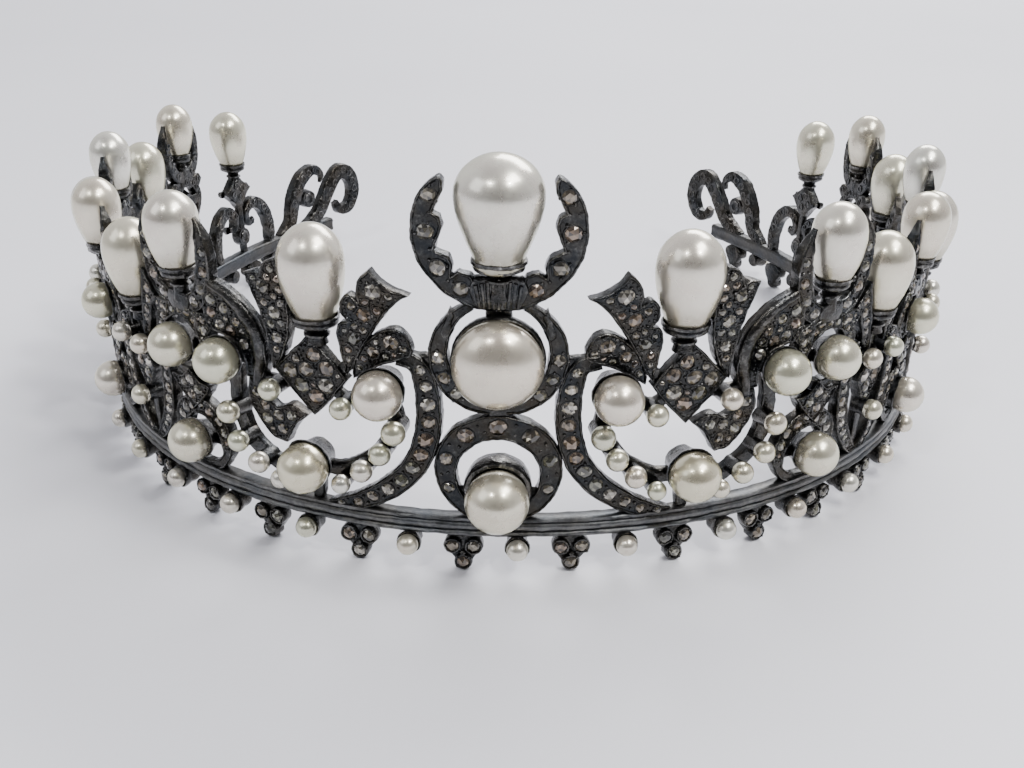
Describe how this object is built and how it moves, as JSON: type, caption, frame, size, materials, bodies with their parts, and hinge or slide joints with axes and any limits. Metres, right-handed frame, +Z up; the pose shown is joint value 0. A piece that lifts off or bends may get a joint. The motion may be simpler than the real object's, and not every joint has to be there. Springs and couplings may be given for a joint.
{
  "type": "tiara",
  "caption": "Open-backed tiara of blackened silver set with pearls and rose-cut stones, standing on a fringe of pearl cups and trefoils.",
  "frame": {"origin": "middle of the tiara's outline seen from above, on the surface that it stands on", "axes": "+Z up, front towards -Y, open back towards +Y, the wearer's left hand towards +X"},
  "size_m": [0.1532, 0.1588, 0.0612],
  "materials": {
    "blackened_silver": "blackened, soft gloss",
    "pearl": "pearl lustre"
  },
  "bodies": {
    "root": {"frame": "blackened_silver", "front_drop_right": "pearl", "front_inner_pearl_right": "pearl", "front_low_pearl_right": "pearl", "front_outer_pearl_right": "pearl", "end_drop_right": "pearl", "side_crescent_drop_right": "pearl", "side_button_right": "pearl", "side_low_pearl_right": "pearl", "flank_crescent_drop_right": "pearl", "flank_button_right": "pearl", "flank_low_pearl_right": "pearl", "arm_crescent_drop_right": "pearl", "arm_button_right": "pearl", "arm_low_pearl_right": "pearl", "rear_crescent_drop_right": "pearl", "rear_button_right": "pearl", "rear_low_pearl_right": "pearl", "side_panel_drop_right": "pearl", "flank_panel_drop_right": "pearl", "arm_panel_drop_right": "pearl", "front_drop_left": "pearl", "front_inner_pearl_left": "pearl", "front_low_pearl_left": "pearl", "front_outer_pearl_left": "pearl", "end_drop_left": "pearl", "side_crescent_drop_left": "pearl", "side_button_left": "pearl", "side_low_pearl_left": "pearl", "flank_crescent_drop_left": "pearl", "flank_button_left": "pearl", "flank_low_pearl_left": "pearl", "arm_crescent_drop_left": "pearl", "arm_button_left": "pearl", "arm_low_pearl_left": "pearl", "rear_crescent_drop_left": "pearl", "rear_button_left": "pearl", "rear_low_pearl_left": "pearl", "side_panel_drop_left": "pearl", "flank_panel_drop_left": "pearl", "arm_panel_drop_left": "pearl", "middle_drop": "pearl", "middle_button": "pearl", "middle_low_pearl": "pearl"}
  },
  "joints": []
}
